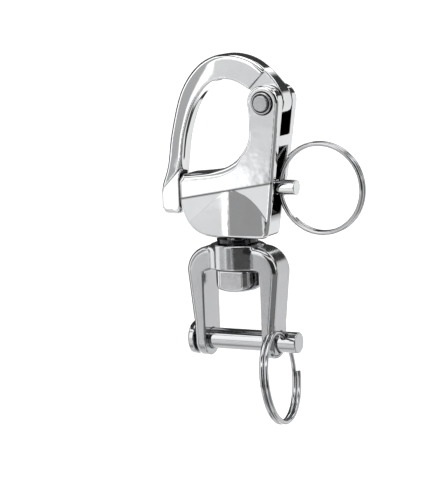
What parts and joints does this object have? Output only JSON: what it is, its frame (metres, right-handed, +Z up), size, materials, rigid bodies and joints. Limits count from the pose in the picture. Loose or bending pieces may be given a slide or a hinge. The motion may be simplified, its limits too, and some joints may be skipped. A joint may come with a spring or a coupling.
{
  "type": "snap shackle",
  "caption": "Swivel snap shackle: hinged bail latched by a ring-pulled spring plunger, above a swivelling fork with a ring-retained clevis pin.",
  "frame": {"origin": "the seat inside the bail's crown that the line bears on, on the swivel axis, at the middle of the bail's thickness", "axes": "+X towards the plunger's pull ring, -Y towards the front, +Z up along the swivel axis towards the bail's crown"},
  "size_m": [0.0632, 0.0303, 0.104],
  "materials": {
    "body": "mirror-polished stainless steel",
    "bail": "mirror-polished stainless steel",
    "bail_pivot_pin": "mirror-polished stainless steel",
    "plunger": "mirror-polished stainless steel",
    "plunger_spring": "drawn spring steel",
    "plunger_bush": "turned stainless steel",
    "plunger_ring": "mirror-polished stainless steel",
    "swivel_washer": "turned stainless steel",
    "swivel_stud": "mirror-polished stainless steel",
    "stud_lock_pin": "turned stainless steel",
    "jaw": "mirror-polished stainless steel",
    "clevis_pin": "mirror-polished stainless steel",
    "clevis_ring": "mirror-polished stainless steel"
  },
  "bodies": {
    "body": {"body": "body", "bail_pivot_pin": "bail_pivot_pin", "plunger_bush": "plunger_bush", "plunger_spring": "plunger_spring", "swivel_washer": "swivel_washer", "swivel_stud": "swivel_stud", "stud_lock_pin": "stud_lock_pin"},
    "bail": {"bail": "bail"},
    "plunger": {"plunger": "plunger"},
    "pull_ring": {"plunger_ring": "plunger_ring"},
    "jaw": {"jaw": "jaw"},
    "clevis_pin": {"clevis_pin": "clevis_pin"},
    "clevis_ring": {"clevis_ring": "clevis_ring"}
  },
  "joints": [
    {"name": "bail_open", "type": "hinge", "parent": "body", "child": "bail", "pos_m": [0.0124, 0, -0.0063], "axis": [0, 1, 0], "range_deg": [0, 105]},
    {"name": "plunger_pull", "type": "slide", "parent": "body", "child": "plunger", "axis": [1, 0, 0], "range_m": [-0.0026, 0.0004], "stiffness_N_per_m": 300, "springref_m": -0.006, "deforming": ["plunger_spring"]},
    {"name": "pull_ring_swing", "type": "hinge", "parent": "plunger", "child": "pull_ring", "pos_m": [0.0142, 0, -0.0306], "axis": [0, 0, 1], "range_deg": [-15, 15]},
    {"name": "jaw_swivel", "type": "hinge", "parent": "body", "child": "jaw", "pos_m": [0, 0, -0.0506], "axis": [0, 0, 1], "continuous": true},
    {"name": "clevis_pin_turn", "type": "hinge", "parent": "jaw", "child": "clevis_pin", "pos_m": [0, 0, -0.0752], "axis": [1, 0, 0], "continuous": true},
    {"name": "clevis_ring_swing", "type": "hinge", "parent": "clevis_pin", "child": "clevis_ring", "pos_m": [0.0147, 0, -0.0752], "axis": [0, -0.6667, 0.7454], "range_deg": [-9, 60]}
  ]
}
